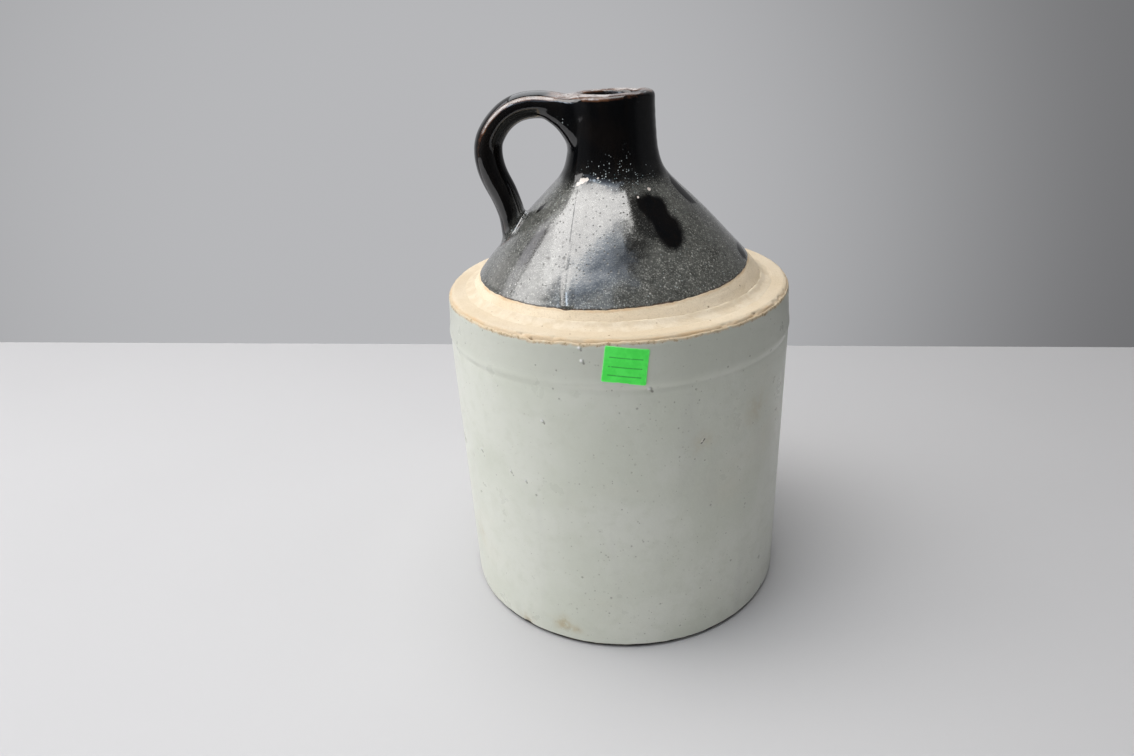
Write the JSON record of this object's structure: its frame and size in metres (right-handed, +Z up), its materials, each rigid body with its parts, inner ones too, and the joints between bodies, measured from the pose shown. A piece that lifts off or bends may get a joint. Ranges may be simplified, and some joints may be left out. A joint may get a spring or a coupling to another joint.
{
  "type": "stoneware jug",
  "caption": "Stoneware shoulder jug with a cylindrical glazed body, bare clay ledge, dark glazed conical shoulder, narrow neck and loop handle, for holding and pouring liquid.",
  "frame": {"origin": "centre of the base, on the surface the jug stands on", "axes": "+Z up along the jug's turning axis, handle towards -X, label towards -Y"},
  "size_m": [0.1743, 0.1744, 0.2593],
  "materials": {
    "bare_clay": "unglazed, fine matt grain",
    "slip_clay": "unglazed slip, matt",
    "white_glaze": "soft gloss with specks and pinholes",
    "dark_glaze": "high gloss, speckled, brown where thin",
    "liner_glaze": "gloss",
    "label_paper": "blank fluorescent paper"
  },
  "bodies": {
    "root": {"crock_body": "bare_clay", "seam_slip": "slip_clay", "shoulder_and_neck": "bare_clay", "body_glaze": "white_glaze", "shoulder_glaze": "dark_glaze", "inner_glaze": "liner_glaze", "handle": "dark_glaze", "handle_neck_wad": "dark_glaze", "handle_shoulder_wad": "dark_glaze", "price_label": "label_paper"}
  },
  "joints": []
}
